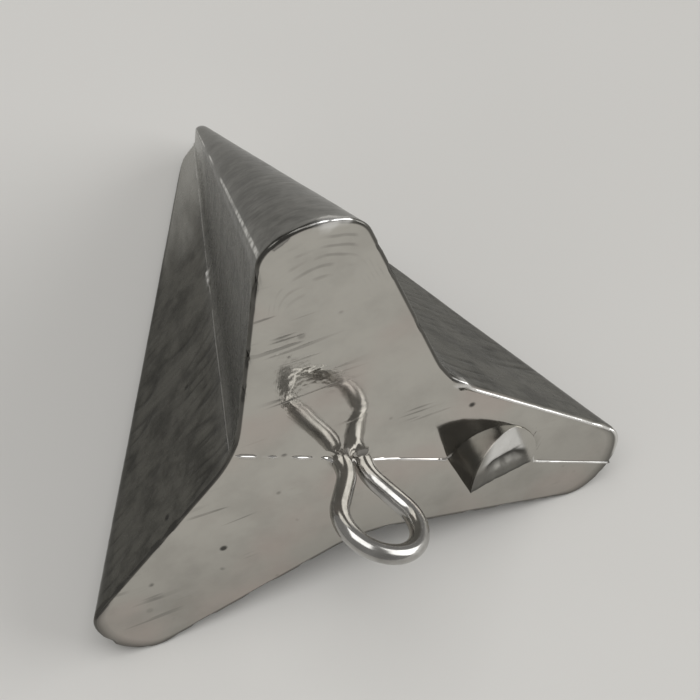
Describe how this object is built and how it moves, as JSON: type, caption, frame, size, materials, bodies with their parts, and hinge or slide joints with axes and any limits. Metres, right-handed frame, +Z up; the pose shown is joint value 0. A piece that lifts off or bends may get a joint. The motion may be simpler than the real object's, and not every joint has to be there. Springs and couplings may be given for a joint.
{
  "type": "fishing sinker",
  "caption": "Winged pyramid sinker cast in lead, with fluted sides, flat base and blunt tip, and a teardrop wire eye cast into the base to take a line or snap.",
  "frame": {"origin": "on the floor, below the middle of the part's outline as it lies at rest", "axes": "+Z up; +X from the eye towards the tip, along the floor under the axis; the wing that stands up points to +Z, and the wing that carries the gate stub to -Y"},
  "size_m": [0.0556, 0.0532, 0.0447],
  "materials": {
    "cast_lead": "satin",
    "steel_wire": "polished"
  },
  "bodies": {
    "root": {"lead_body": "cast_lead", "wire_eye": "steel_wire"}
  },
  "joints": []
}
